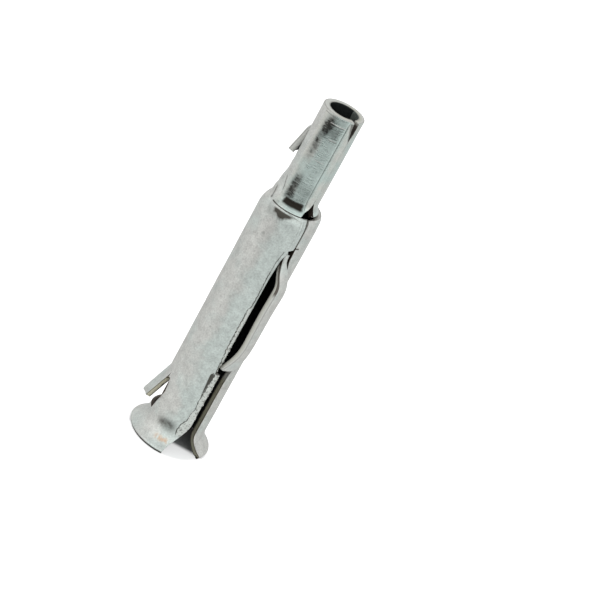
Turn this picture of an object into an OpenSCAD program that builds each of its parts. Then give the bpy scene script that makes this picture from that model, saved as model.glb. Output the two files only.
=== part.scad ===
// Metal expansion wall anchor: one steel pressing rolled into a slit sleeve.
// It stands on its flared mouth, with the nose that goes into the wall first pointing up.
// Angles go round the axis from the front (-Y) towards the right (+X).

/* [Sleeve] */
// Thickness of the rolled sheet
sheet = 0.95; // [0.8:0.05:1]
// Length from the mouth to the tip of the nose
length = 60; // [57:0.5:66]
// Outside diameter of the barrel
barrel_d = 9.4; // [9.2:0.1:10]
// Direction of the barrel's seam
seam_a = 44; // [42:1:46]
// Width of the closed seams
seam_gap = 0.08; // [0.06:0.01:0.12]

/* [Mouth] */
// Outside diameter of the mouth's rim
mouth_d = 13.2; // [12.6:0.1:13.8]
// Height at which the barrel starts to flare
flare_z = 3.96; // [3.8:0.02:4.2]
// Height of the rim's outer edge above the flat that it stands on
rim_edge_z = 0.6; // [0.5:0.05:0.7]
// Reach of the V-shaped gap to the left of the seam, at the rim
mouth_gap_left = 4.2; // [4:0.1:4.4]
// Reach of the V-shaped gap to the right of the seam, at the rim
mouth_gap_right = 2.2; // [2:0.1:2.5]
// Height above the flare at which the gap's left edge starts to turn out
mouth_gap_rise = 1.8; // [1.4:0.1:2.2]

/* [Nose] */
// Outside diameter of the nose
nose_d = 6.4; // [6.2:0.1:6.8]
// Length of the nose above the cross slit
nose_l = 15.9; // [15:0.1:18]
// Height of the rounded shoulder between the barrel and the nose
shoulder_h = 5; // [4.6:0.1:5.4]
// Direction of the nose's seam
nose_seam_a = 51.5; // [48:0.5:54]
// Angle that each nose wing covers
wing_a = 98; // [90:1:104]
// Width of the cross slit under the wings
slit_w = 0.14; // [0.1:0.01:0.2]
// Height of the V-shaped gap between the wings at the shoulder
wing_gap_h = 2.1; // [1.5:0.1:2.5]
// Reach of that gap to the left of the nose's seam, at the slit
wing_gap_left = 1.65; // [1.4:0.05:1.8]
// Reach of that gap to the right of the nose's seam, at the slit
wing_gap_right = 0.85; // [0.6:0.05:1]
// Depth of the seam's opening at the tip
tip_gap_h = 3.2; // [2.6:0.1:3.6]
// Reach of the seam's opening to the left, at the tip
tip_gap_left = 0.6; // [0.3:0.05:0.8]
// Reach of the seam's opening to the right, at the tip
tip_gap_right = 0.35; // [0.2:0.05:0.5]

/* [Slot] */
// Distance from the shoulder down to the slot's upper end
slot_drop = 2.8; // [2.4:0.1:3.2]
// Height of the slot's lower end
slot_z = 15.3; // [14.8:0.1:15.9]
// Reach of the slot to the left of the seam
slot_left = 1.35; // [1.3:0.05:1.45]
// Reach of the slot to the right of the seam
slot_right = 1.22; // [1.2:0.02:1.35]
// Slant of the slot's edges at its lower end
slot_slant = 0.25; // [0.15:0.05:0.3]
// Height of the steps at the slot's ends
slot_step = 1.4; // [1.2:0.1:1.6]
// Reach of the lower seam's gap to the left of the seam
gap_left = 0.8; // [0.6:0.05:0.9]
// Reach of the lower seam's gap to the right of the seam
gap_right = 0.5; // [0.4:0.05:0.6]

/* [Seam finger] */
// Distance from the slot's upper end down to the finger's root
finger_drop = 1.5; // [1.3:0.1:1.8]
// Distance from the slot's lower end up to the finger's free end
finger_end_room = 1.2; // [0.9:0.1:3]
// Width of the finger
finger_w = 2.1; // [1.9:0.05:2.15]
// Width of the neck that the finger hangs from
neck_w = 0.75; // [0.65:0.05:0.9]
// Reach of the neck to the left of the seam
neck_left = 1; // [0.95:0.01:1.05]
// Room on both sides of the neck
neck_room = 0.06; // [0.04:0.01:0.1]
// How far the finger bows out of the barrel
finger_bow = 1.12; // [0.9:0.02:1.3]
// How far the bowed part leans to the right
finger_shift = 0.9; // [0.7:0.05:0.95]
// Twist of the bowed part about its own length
finger_twist = 22; // [12:1:24]
// Distance of the free end's middle to the left of the seam
finger_end_left = 0.25; // [0.2:0.01:0.3]
// Rise of the free end above the barrel
finger_lift = 0.22; // [0.15:0.01:0.4]

/* [Barbs] */
// Direction of the nose barb
nose_barb_a = -125; // [-128:1:-118]
// Half of the angle that the nose barb covers
nose_barb_half = 37; // [30:1:40]
// Distance from the tip of the nose down to the nose barb's root
nose_barb_drop = 4.2; // [4:0.1:6]
// Length of the nose barb
nose_barb_l = 5; // [4:0.1:5]
// Outward lean of the nose barb
nose_barb_lean = 18; // [12:1:20]
// Direction of the barrel barb
barrel_barb_a = -90; // [-95:1:-85]
// Half of the angle that the barrel barb covers
barrel_barb_half = 30; // [26:1:33]
// Height of the barrel barb's root
barrel_barb_z = 11.2; // [10.8:0.1:11.6]
// Length of the barrel barb
barrel_barb_l = 6.2; // [5:0.1:6.2]
// Outward lean of the barrel barb
barrel_barb_lean = 18; // [14:1:20]
// Room beside and below each barb in its window
barb_gap = 0.35; // [0.25:0.05:0.5]

/* [Hidden] */
zinc = [0.72, 0.74, 0.73];
bright_zinc = [0.78, 0.8, 0.79];
tongue_zinc = [0.66, 0.67, 0.64];
round_fn = 128;
arc_steps = 10;
over = 1;

barrel_r = barrel_d / 2;
nose_r = nose_d / 2;
bore_r = barrel_r - sheet;
nose_bore_r = nose_r - sheet;
slit_z = length - nose_l;
barrel_top_z = slit_z - slit_w;

// The shoulder is two equal arcs, out of the barrel and into the nose, that meet at the slit.
shoulder_drop = barrel_r - nose_r;
shoulder_turn = 2 * atan(shoulder_drop / shoulder_h);
shoulder_r = shoulder_h / 2 / sin(shoulder_turn);
shoulder_z = slit_z - shoulder_h / 2;
nose_z = slit_z + shoulder_h / 2;
slot_top_z = shoulder_z - slot_drop;
nose_barb_z = length - nose_barb_drop;

// The mouth's outer surface is one arc from the barrel to the rim.
flare_out = mouth_d / 2 - barrel_r;
flare_drop = flare_z - rim_edge_z;
flare_r = (flare_out * flare_out + flare_drop * flare_drop) / 2 / flare_out;
flare_turn = asin(flare_drop / flare_r);

// Each wing turns about a line at its widest radius, so that its root face only opens.
wing_from_a = nose_seam_a - wing_a;
wing_to_a = nose_seam_a + wing_a;

// The finger leaves its neck, bows out, and comes back to the barrel at its end.
finger_root_z = slot_top_z - finger_drop;
finger_end_z = slot_z + finger_end_room;
finger_steps = 26;
finger_shoulder_end = 0.16;
finger_rise_end = 0.25;
finger_fall_start = 0.72;
neck_mid = neck_left - neck_w / 2;
finger_crown = finger_w * finger_w / 8 / barrel_r;

gap_steps = 6;
gap_curve = 2;

function arc(cx, cy, r, from, to) =
    [for (i = [0 : arc_steps]) let (a = from + (to - from) * i / arc_steps)
        [cx + r * cos(a), cy + r * sin(a)]];
function smooth(t) = let (c = min(max(t, 0), 1)) c * c * (3 - 2 * c);
function mix(a, b, t) = a + (b - a) * t;

// Turns a profile of radius and height round the axis from one direction to another.
module ring(from, to) {
    rotate([0, 0, from - 90]) rotate_extrude(angle = to - from, $fn = round_fn) children();
}

// Cuts outwards along one direction, with an outline of sideways reach and height.
module cut_along(a) {
    rotate([0, 0, a]) rotate([90, 0, 0]) linear_extrude(mouth_d) children();
}

module flare_profile() {
    cx = barrel_r + flare_r;
    intersection() {
        polygon(concat(
            arc(cx, flare_z, flare_r, 180, 180 + flare_turn),
            arc(cx, flare_z, flare_r + sheet, 180 + flare_turn, 180)
        ));
        square([mouth_d, flare_z]);
    }
}

module shoulder_profile() {
    barrel_cx = barrel_r - shoulder_r;
    nose_cx = nose_r + shoulder_r;
    polygon(concat(
        arc(barrel_cx, shoulder_z, shoulder_r, 0, shoulder_turn),
        arc(nose_cx, nose_z, shoulder_r, 180 + shoulder_turn, 180),
        arc(nose_cx, nose_z, shoulder_r + sheet, 180, 180 + shoulder_turn),
        arc(barrel_cx, shoulder_z, shoulder_r - sheet, shoulder_turn, 0)
    ));
}

module shoulder_band(from_z, to_z) {
    intersection() {
        shoulder_profile();
        translate([0, from_z]) square([barrel_d, to_z - from_z]);
    }
}

// The barrel's seam, the finger's slot and the open seam below it, as one outline.
module barrel_gap() {
    notch_z = slot_top_z - finger_drop / 5;
    polygon([
        [-seam_gap / 2, length], [-seam_gap / 2, slot_top_z],
        [-neck_mid, notch_z], [neck_w - neck_left + neck_room, finger_root_z],
        [-neck_left - neck_room, finger_root_z],
        [(-slot_left - neck_left) / 2, finger_root_z - slot_step / 2],
        [-slot_left, finger_root_z - 3 * slot_step],
        [-slot_left, slot_z + 2 * slot_step], [-slot_left - slot_slant, slot_z],
        [-gap_left, slot_z], [-gap_left, 0], [gap_right, 0],
        [gap_right, slot_z - slot_step], [slot_right - slot_slant, slot_z + slot_step],
        [slot_right, slot_z + 2 * slot_step], [slot_right, finger_root_z - 5 * slot_step / 2],
        [seam_gap / 2, finger_root_z - slot_step / 3], [seam_gap / 2, length]
    ]);
}

// One edge of the mouth's gap, which curves out from the seam to the rim.
function mouth_edge(from, to, top_z) = [for (i = [0 : gap_steps]) let (k = i / gap_steps)
    [mix(from, to, pow(k, gap_curve)), mix(top_z, rim_edge_z, k)]];

// The mouth's gap: its left edge starts to curve higher up than its right edge.
module mouth_gap() {
    left_edge = mouth_edge(-gap_left, -mouth_gap_left, flare_z + mouth_gap_rise);
    right_edge = mouth_edge(gap_right, mouth_gap_right, flare_z);
    foot = [[-mouth_gap_left, -over], [mouth_gap_right, -over]];
    polygon(concat(left_edge, foot, [for (i = [gap_steps : -1 : 0]) right_edge[i]]));
}

// The gap between the wings: open at the shoulder, closed along the nose, open at the tip.
module wing_gap() {
    top_z = slit_z + wing_gap_h;
    polygon([
        [-seam_gap / 2, top_z], [-wing_gap_left / 3, slit_z + wing_gap_h / 2],
        [-wing_gap_left, slit_z], [-wing_gap_left, slit_z - over],
        [wing_gap_right, slit_z - over], [wing_gap_right, slit_z + wing_gap_h / 4],
        [seam_gap / 2, top_z], [seam_gap / 2, length - tip_gap_h],
        [tip_gap_right, length - tip_gap_h / 2], [tip_gap_right, length + over],
        [-tip_gap_left, length + over], [-tip_gap_left, length],
        [-seam_gap / 2, length - tip_gap_h]
    ]);
}

// Opening round a barb: as wide as the barb and its room, down to just below its tip.
module barb_window(a, half, root_z, l, r) {
    room_a = barb_gap / r * 180 / PI;
    bottom_z = root_z - l - barb_gap;
    ring(a - half - room_a, a + half + room_a)
        translate([0, bottom_z]) square([r + over, root_z - bottom_z]);
}

// A barb: a piece of the sleeve's own wall that leans out about the chord of its inner face.
module barb(a, half, root_z, l, lean, r) {
    hinge_r = (r - sheet) * cos(half);
    intersection() {
        rotate([0, 0, a]) translate([0, -hinge_r, root_z]) rotate([-lean, 0, 0])
            translate([0, hinge_r, 0]) ring(-half, half)
                translate([r - sheet, -l]) square([sheet, l + over]);
        translate([0, 0, root_z - 2 * l]) cylinder(r = mouth_d, h = 2 * l, $fn = round_fn);
    }
}

function finger_section(t) =
    let (
        fallen = max(t - finger_fall_start, 0) / (1 - finger_fall_start),
        bow = smooth(t / finger_rise_end) * (1 - fallen * fallen),
        grown = smooth(t / finger_shoulder_end),
        w = mix(neck_w, finger_w, grown),
        crown = finger_crown * grown,
        side = -mix(neck_mid, finger_end_left, t) + finger_shift * bow,
        out = barrel_r + finger_lift * t + finger_bow * bow,
        turn = finger_twist * bow - mix(neck_mid / barrel_r * 180 / PI, 0, t),
        z = mix(finger_root_z, finger_end_z, t)
    )
    [for (p = [[-w / 2, 0], [0, crown], [w / 2, 0],
               [w / 2, -sheet], [0, crown - sheet], [-w / 2, -sheet]])
        [side + p.x * cos(turn) + p.y * sin(turn), p.x * sin(turn) - p.y * cos(turn) - out, z]];

module barrel() color(zinc) difference() {
    ring(0, 360) {
        translate([bore_r, flare_z]) square([sheet, shoulder_z - flare_z]);
        shoulder_band(shoulder_z, barrel_top_z);
    }
    cut_along(seam_a) {
        barrel_gap();
        mouth_gap();
    }
    barb_window(barrel_barb_a, barrel_barb_half, barrel_barb_z, barrel_barb_l, barrel_r);
}

module mouth_flare() color(zinc) difference() {
    ring(0, 360) flare_profile();
    cut_along(seam_a) mouth_gap();
}

module shoulder_neck() color(zinc)
    ring(wing_to_a, wing_from_a + 360) shoulder_band(barrel_top_z, nose_z);

module nose_spine() color(bright_zinc) difference() {
    ring(wing_to_a, wing_from_a + 360)
        translate([nose_bore_r, nose_z]) square([sheet, length - nose_z]);
    barb_window(nose_barb_a, nose_barb_half, nose_barb_z, nose_barb_l, nose_r);
}

module nose_wing(from, to) color(bright_zinc) difference() {
    ring(from, to) {
        translate([nose_bore_r, nose_z]) square([sheet, length - nose_z]);
        shoulder_band(slit_z, nose_z);
    }
    cut_along(nose_seam_a) wing_gap();
}

module nose_front_wing() nose_wing(wing_from_a, nose_seam_a);

module nose_rear_wing() nose_wing(nose_seam_a, wing_to_a);

module nose_barb() color(tongue_zinc)
    barb(nose_barb_a, nose_barb_half, nose_barb_z, nose_barb_l, nose_barb_lean, nose_r);

module barrel_barb() color(tongue_zinc)
    barb(barrel_barb_a, barrel_barb_half, barrel_barb_z, barrel_barb_l, barrel_barb_lean,
         barrel_r);

module seam_finger() color(tongue_zinc) {
    corners = 6;
    last = finger_steps * corners;
    points = [for (i = [0 : finger_steps]) each finger_section(i / finger_steps)];
    sides = [for (i = [0 : finger_steps - 1], k = [0 : corners - 1])
        let (m = i * corners, n = (k + 1) % corners)
        each [[m + k, m + n, m + corners + n], [m + k, m + corners + n, m + corners + k]]];
    ends = [for (f = [[0, 5, 1], [1, 5, 4], [1, 4, 2], [2, 4, 3]])
        each [f, [last + f[2], last + f[1], last + f[0]]]];
    rotate([0, 0, seam_a]) polyhedron(points, concat(sides, ends), convexity = 4);
}

barrel();
mouth_flare();
shoulder_neck();
nose_spine();
nose_front_wing();
nose_rear_wing();
nose_barb();
barrel_barb();
seam_finger();
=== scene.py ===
# %% [markdown]
# A metal expansion plug: one zinc-plated steel pressing, rolled into a slit sleeve that stands on its
# flared mouth. The solid model gives the true sizes and moving parts; this script dresses it as the
# real pressing looks: continuous sheet with rolled-over sheared edges, a bent finger and barbs,
# drawn marks on the nose and mottled zinc.

# %% Frame
import math
import random

import bpy
import bmesh
from mathutils import Matrix, Vector, noise


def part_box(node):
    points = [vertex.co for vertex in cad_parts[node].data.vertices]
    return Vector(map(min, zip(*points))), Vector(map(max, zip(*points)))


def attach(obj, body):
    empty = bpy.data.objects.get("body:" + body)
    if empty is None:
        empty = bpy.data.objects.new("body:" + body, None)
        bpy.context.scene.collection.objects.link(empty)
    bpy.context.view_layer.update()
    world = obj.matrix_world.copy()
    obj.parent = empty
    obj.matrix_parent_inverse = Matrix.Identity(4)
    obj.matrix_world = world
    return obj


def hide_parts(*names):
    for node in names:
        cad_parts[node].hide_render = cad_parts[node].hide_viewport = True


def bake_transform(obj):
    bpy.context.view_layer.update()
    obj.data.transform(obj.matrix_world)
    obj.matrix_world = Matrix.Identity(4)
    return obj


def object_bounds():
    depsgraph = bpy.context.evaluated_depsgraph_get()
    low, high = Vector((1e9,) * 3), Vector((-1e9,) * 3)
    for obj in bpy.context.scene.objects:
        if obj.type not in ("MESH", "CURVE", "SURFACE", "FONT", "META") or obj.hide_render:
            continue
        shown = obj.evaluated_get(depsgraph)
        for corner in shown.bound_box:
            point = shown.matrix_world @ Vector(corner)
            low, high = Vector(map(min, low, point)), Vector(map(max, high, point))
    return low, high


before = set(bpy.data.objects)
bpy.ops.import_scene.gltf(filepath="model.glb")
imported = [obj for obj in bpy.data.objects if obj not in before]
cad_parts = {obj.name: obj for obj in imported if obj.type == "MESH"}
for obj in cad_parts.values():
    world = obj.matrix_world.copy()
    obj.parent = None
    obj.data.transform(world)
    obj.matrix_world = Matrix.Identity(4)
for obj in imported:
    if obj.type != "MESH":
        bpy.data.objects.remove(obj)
cad_low, cad_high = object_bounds()
MM = 0.001

# %% [markdown]
# The sleeve's own measures come from the nodes of the frame where a node shows them, and the rest
# are the pressing's design values, all in millimetres.

# %% Sizes
LENGTH = cad_high.z / MM
MOUTH_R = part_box("mouth_flare")[1].y / MM
BARREL_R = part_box("barrel")[1].y / MM
FLARE_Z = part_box("mouth_flare")[1].z / MM
BARREL_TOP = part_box("barrel")[1].z / MM
SLIT_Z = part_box("nose_front_wing")[0].z / MM
SHEET = 0.95
NOSE_R = 3.2
RIM_EDGE, RIM_TOP = 0.6, 1.0  # the mouth's cut face ends at the first, its rounding at the second
SHOULDER_H = 5.0
SHOULDER_Z = SLIT_Z - SHOULDER_H / 2
NOSE_Z = SLIT_Z + SHOULDER_H / 2
SEAM, NOSE_SEAM = 44.0, 51.5  # directions of the seam, in degrees round from the front
print(f"length {LENGTH:.2f}, barrel radius {BARREL_R:.2f}, mouth radius {MOUTH_R:.2f} mm")

# %% [markdown]
# Every wall of the plug is one rolled sheet, so one profile serves them all. Its outer radius and the
# slope of its face are written as functions of height: an arc for the flare, a plain barrel, two equal
# arcs for the shoulder, and a plain nose.

# %% Profile
shoulder_turn = 2 * math.atan((BARREL_R - NOSE_R) / SHOULDER_H)
SHOULDER_R = SHOULDER_H / 2 / math.sin(shoulder_turn)
flare_out, flare_drop = MOUTH_R - BARREL_R, FLARE_Z - RIM_EDGE
FLARE_R = (flare_out**2 + flare_drop**2) / 2 / flare_out


def outer(z):
    """Outer radius at a height, and the face's normal as its outward and upward parts."""
    if z < FLARE_Z:
        up = min((FLARE_Z - z) / FLARE_R, 1)
        out = math.sqrt(1 - up * up)
        return BARREL_R + FLARE_R * (1 - out), out, up
    if z < SHOULDER_Z:
        return BARREL_R, 1.0, 0.0
    if z < SLIT_Z:
        up = (z - SHOULDER_Z) / SHOULDER_R
        out = math.sqrt(1 - up * up)
        return BARREL_R - SHOULDER_R * (1 - out), out, up
    if z < NOSE_Z:
        up = (NOSE_Z - z) / SHOULDER_R
        out = math.sqrt(1 - up * up)
        return NOSE_R + SHOULDER_R * (1 - out), out, up
    return NOSE_R, 1.0, 0.0


print(f"shoulder arcs {SHOULDER_R:.2f} mm, flare arc {FLARE_R:.2f} mm")

# %% [markdown]
# A round part is easiest to describe by radius, direction and height, so every place is given that way and
# turned into a point here. The other helpers ease a value in and out, read a value off a short list, and
# divide a length into even steps.

# %% Places and shares
def place(r, angle, z):
    """A point from its radius, its direction round the axis (0 is the front) and its height."""
    a = math.radians(angle)
    return Vector((r * math.sin(a), -r * math.cos(a), z))


def smooth(t):
    """A share from 0 to 1 with soft ends; anything beyond them stays at the end."""
    t = min(max(t, 0.0), 1.0)
    return t * t * (3 - 2 * t)


def mix(a, b, t):
    return a + (b - a) * t


def along(points, x):
    """Straight-line reading of a list of (x, y) pairs, given in rising x."""
    if x <= points[0][0]:
        return points[0][1]
    for (x0, y0), (x1, y1) in zip(points, points[1:]):
        if x <= x1:
            return mix(y0, y1, (x - x0) / (x1 - x0))
    return points[-1][1]


def steps(*knots, step):
    """Values that pass through each knot, no further apart than the step."""
    values = [knots[0]]
    for a, b in zip(knots, knots[1:]):
        count = max(1, math.ceil((b - a) / step - 1e-6))
        values += [mix(a, b, i / count) for i in range(1, count + 1)]
    return values


print("a turn in steps of at most 100 degrees:", steps(0, 360, step=100))

# %% [markdown]
# Shearing sheet rolls its edges over. One Bevel modifier does that here, on the edges that carry a bevel
# weight, so the bend lines, which carry none, are left alone. Weighted normals keep the broad faces smooth.

# %% Rolled edges
EDGE_ROLL, INNER_ROLL = 0.11, 0.35  # the outer roll in mm, and the inner one as a share of it


def finish_shell(name, mesh):
    """Scales a shell from millimetres to metres and rolls its weighted edges over."""
    bmesh.ops.recalc_face_normals(mesh, faces=mesh.faces)
    for v in mesh.verts:
        v.co *= MM
    for f in mesh.faces:
        f.smooth = True
    data = bpy.data.meshes.new(name)
    mesh.to_mesh(data)
    mesh.free()
    piece = bpy.data.objects.new(name, data)
    bpy.context.scene.collection.objects.link(piece)
    bevel = piece.modifiers.new("Rolled edges", "BEVEL")
    bevel.limit_method = "WEIGHT"
    bevel.width = EDGE_ROLL * MM
    bevel.segments = 3
    bevel.use_clamp_overlap = False
    bevel.harden_normals = False
    sharp = piece.modifiers.new("Weighted normals", "WEIGHTED_NORMAL")
    sharp.keep_sharp = True
    return piece


print("edges roll over by", EDGE_ROLL, "mm")

# %% [markdown]
# A sheet shell is a grid of rows (heights) and columns (directions) on the outer face, the same grid one
# sheet thickness inside, and a wall wherever the kept cells end. Openings are simply cells left out.
# The walls get a material of their own, because a sheared face is bare steel.

# %% Sheet shells
CUT = 1  # material slot of the sheared faces; slot 0 is the plated face
NO_TEAR = -9.0  # far enough from the torn line to stay clear of its dark band


def shell(name, rows, columns, point, kept, rooted=lambda a, b: False):
    """Closed sheet from a grid. point(i, j) gives the outer point, the inner point, how far it is past a torn
    line and how dented it is; rooted(a, b) names a grid edge that another piece carries on from."""
    mesh = bmesh.new()
    tears, dents, depths = [mesh.verts.layers.float.new(n) for n in ("past_tear", "dent", "sheet_depth")]
    outside, inside = {}, {}
    cells = [(i, j) for i in range(rows - 1) for j in range(columns - 1) if kept(i, j)]
    corners = sorted({(i + a, j + b) for i, j in cells for a in (0, 1) for b in (0, 1)})
    for i, j in corners:
        out, within, past_tear, dent = point(i, j)
        outside[i, j] = mesh.verts.new(out)
        outside[i, j][tears], outside[i, j][dents] = past_tear, dent
        inside[i, j] = mesh.verts.new(within)
        inside[i, j][depths] = 1
    walls = {}
    for i, j in cells:
        loop = [(i, j), (i, j + 1), (i + 1, j + 1), (i + 1, j)]
        mesh.faces.new([outside[k] for k in loop])
        mesh.faces.new([inside[k] for k in reversed(loop)])
        for a, b in zip(loop, loop[1:] + loop[:1]):
            if (b, a) in walls:
                del walls[b, a]
            else:
                walls[a, b] = True
    weight = mesh.edges.layers.float.new("bevel_weight_edge")
    for a, b in walls:
        mesh.faces.new([outside[b], outside[a], inside[a], inside[b]]).material_index = CUT
        edges = [mesh.edges.get([side[a], side[b]]) for side in (outside, inside)]
        if rooted(a, b):
            for edge in edges:
                edge.smooth = False
        else:
            edges[0][weight], edges[1][weight] = 1, INNER_ROLL
    return finish_shell(name, mesh)


print("shell builder ready")

# %% [markdown]
# The seam runs the whole height. Above the slot it is closed, along the slot the finger was lanced out
# of the sheet to its left, and below it the two edges part and turn out into the mouth's V. Each edge is
# a reach from the seam's plane, read from a few heights, so the same lines trim the sheet everywhere.

# %% Seam edges
SEAM_HALF = 0.06
SLOT_TOP, ROOT_Z, SLOT_Z, FINGER_END = 38.8, 37.3, 15.3, 16.5
NOTCH_Z, NOTCH_LEFT = 38.5, -0.85
GAP_TOP = 5.76
NECK_LEFT, NECK_RIGHT = -1.0, -0.25
GAP_LEFT, GAP_RIGHT = -0.8, 0.5
MOUTH_LEFT, MOUTH_RIGHT = -4.2, 2.2
STEP_Z, STRIP, DRAGGED = 13.9, 0.75, 0.1
LEFT_OF_SLOT = [(SLOT_Z, -1.6), (18.1, -1.37), (33.1, -1.35), (36.6, -1.15), (ROOT_Z, NECK_LEFT)]
RIGHT_OF_SLOT = [(STEP_Z, GAP_RIGHT), (16.7, 0.97), (18.1, 1.22), (33.8, 1.22), (36.83, 0.2),
                 (SLOT_TOP, 0.12)]


def left_edge(z):
    """Free edge of the front sheet, as a reach from the seam (negative is to the left)."""
    if z > SLOT_Z:
        return along([(ROOT_Z, NECK_RIGHT), (NOTCH_Z, NOTCH_LEFT), (SLOT_TOP, -SEAM_HALF)], z)
    fall = min(max((GAP_TOP - z) / (GAP_TOP - RIM_EDGE), 0), 1)
    return mix(GAP_LEFT, MOUTH_LEFT, fall**2) - DRAGGED * smooth((15 - z) / 8) * (1 - fall)


def slot_left(z):
    """Edge of the front sheet where the finger has left it; below the slot, a line beside the free edge."""
    return along(LEFT_OF_SLOT, z) if z >= SLOT_Z else left_edge(z) - STRIP


def right_edge(z):
    """Free edge of the right sheet."""
    if z > STEP_Z:
        return along(RIGHT_OF_SLOT, z)
    fall = min(max((FLARE_Z - z) / (FLARE_Z - RIM_EDGE), 0), 1)
    return mix(GAP_RIGHT, MOUTH_RIGHT, fall**2)


def turned(reach, r):
    """Direction round the axis of a reach from the seam's plane at a radius."""
    return SEAM + math.degrees(math.asin(max(min(reach / r, 1), -1)))


print("slot from", SLOT_Z, "to", SLOT_TOP, "mm")

# %% [markdown]
# The fixed part of the pressing is one piece here: flare, barrel, shoulder and the spine of the nose.
# Columns near the seam follow its edges and fade into straight ones over sixty degrees, and a band of
# closely set columns beside the slot has room for the torn shear line that lancing left there.

# %% Sleeve grid
SPINE = (149.5, 313.5)
BARB_WINDOW = dict(back=235.7, front=304.3, low=4.0, high=11.2)
NOSE_WINDOW = dict(back=191.7, front=278.3, low=49.8, high=55.8)
BARB_SPAN = (240.0, 300.0)
NOSE_BARB_SPAN = (198.0, 272.0)
BARB_CORNER = 10.3
WINDOW_LEAN = [(3.0, 0), (4.0, -8), (8, 6.5), (9.3, 5), (11.2, 0)]
LEAN_WIDTH = 24
SHEAR_BAND = [1.3, 1.1] + [0.98 - 0.06 * k for k in range(15)]
PLAIN_FROM, PLAIN_TO = 62.0, 380.0
FOLLOW = 60.0
RIGHT_ROOM, LEFT_ROOM = 0.2, 1.5  # what the plain columns keep free beside the seam's edges
COLUMN_STEP, ROW_STEP = 4, 0.28
plain = steps(PLAIN_FROM, SPINE[0], NOSE_WINDOW["back"], NOSE_BARB_SPAN[0], BARB_WINDOW["back"], BARB_SPAN[0],
              NOSE_BARB_SPAN[1], NOSE_WINDOW["front"], BARB_SPAN[1], BARB_WINDOW["front"], SPINE[1], PLAIN_TO,
              step=COLUMN_STEP)
right_columns = 5
left_columns = 6
column_count = right_columns + len(plain) + len(SHEAR_BAND) + 1 + left_columns
row_knots = [0.64, RIM_TOP, BARB_WINDOW["low"], GAP_TOP, BARB_CORNER, BARB_WINDOW["high"], STEP_Z, 15.1,
             SLOT_Z, ROOT_Z, NOTCH_Z, SLOT_TOP, SHOULDER_Z, BARREL_TOP, SLIT_Z, NOSE_Z, NOSE_WINDOW["low"],
             NOSE_WINDOW["high"], LENGTH]
sleeve_rows = [0.0, 0.2, 0.38, 0.52] + steps(*row_knots, step=ROW_STEP)
FIRST_PLAIN = right_columns
FIRST_BAND = FIRST_PLAIN + len(plain)
LAST_SHARED = FIRST_BAND + len(SHEAR_BAND)


def window_lean(angle, z):
    """The barb's window narrows towards the mouth: its front edge and the columns by it lean back."""
    return smooth(1 - abs(angle - BARB_WINDOW["front"]) / LEAN_WIDTH) * along(WINDOW_LEAN, z)


def sleeve_column(j, z):
    """Direction of a column at a height, and how closely it follows the seam."""
    r = outer(max(z, RIM_EDGE))[0]
    if j >= LAST_SHARED:
        reach = mix(slot_left(z), left_edge(z), (j - LAST_SHARED) / left_columns)
        return turned(reach, r) + 360, 1.0
    if j >= FIRST_BAND:
        return turned(slot_left(z) - SHEAR_BAND[j - FIRST_BAND], r) + 360, 1.0
    angle = plain[max(j - FIRST_PLAIN, 0)]
    right_pull = smooth(1 - (angle - PLAIN_FROM) / FOLLOW)
    left_pull = smooth(1 - (PLAIN_TO - angle) / FOLLOW)
    right_shift = turned(right_edge(z) + RIGHT_ROOM, r) - PLAIN_FROM
    left_shift = turned(slot_left(z) - LEFT_ROOM, r) + 360 - PLAIN_TO
    angle += right_pull * max(right_shift, 0) + left_pull * min(left_shift, 0) + window_lean(angle, z)
    if j < FIRST_PLAIN:
        angle = mix(turned(right_edge(z), r), angle, j / right_columns)
    return angle, max(right_pull, left_pull)


print(len(sleeve_rows), "rows and", column_count, "columns")

# %% [markdown]
# Any place on the sheet has an outer and an inner point. The inner one lies one thickness in, square to the
# face, except at the mouth, where the cut face of the rim leans in and its corner is rounded. Rolled sheet is
# never quite even, so two soft noises move its face by a few hundredths of a millimetre.

# %% Points of the sheet
CUT_SLOPE, RIM_ROUND, RIM_LIFT = 0.6, 0.3, 0.04
UNEVEN = ((5.0, 0.02), (1.6, 0.008))  # how wide and how deep the sheet waves
STEEPEST = 0.95  # past this share of the radius a reach no longer fixes a direction


def wobble(p, size, depth):
    """Soft noise at a point, with waves about as long as the size."""
    return noise.noise(p / size) * depth


def sheet_point(angle, z, follow=0.0, sunk=0.0, drawn_in=0.0):
    """Outer and inner points of the sheet; near the seam both lie on the same reach."""
    r, out, up = outer(max(z, RIM_EDGE))
    r -= drawn_in
    r_in, z_in = r - SHEET * out, z - SHEET * up
    if z < RIM_TOP:
        cut_face = MOUTH_R - (RIM_EDGE - z) * CUT_SLOPE
        share = min(max(0.5 + (cut_face - outer(z)[0]) / 2 / RIM_ROUND, 0), 1)
        r = mix(cut_face, outer(z)[0], share) - RIM_ROUND * share * (1 - share)
        above_rim = max(z - RIM_EDGE, 0) / (RIM_TOP - RIM_EDGE)
        z_in = mix(RIM_LIFT * min(z, RIM_EDGE), RIM_TOP - SHEET * outer(RIM_TOP)[2], above_rim)
        r_in = BARREL_R + FLARE_R - math.sqrt((FLARE_R + SHEET) ** 2 - (FLARE_Z - z_in) ** 2)
    reach = r * math.sin(math.radians(angle - SEAM))
    inner_angle = angle
    if follow and abs(reach) < r_in * STEEPEST:
        inner_angle += follow * (turned(reach, r_in) - turned(reach, r))
    where = place(BARREL_R, angle, z)
    bump = sum(wobble(where, wide, deep) for wide, deep in UNEVEN) if z > RIM_EDGE else 0
    rise = bump - sunk
    return place(r + rise * out, angle, z + rise * up), place(r_in, inner_angle, z_in)


print(f"the mouth's rim is {-sheet_point(0, RIM_EDGE)[0].y:.2f} mm from the axis in front")
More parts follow.
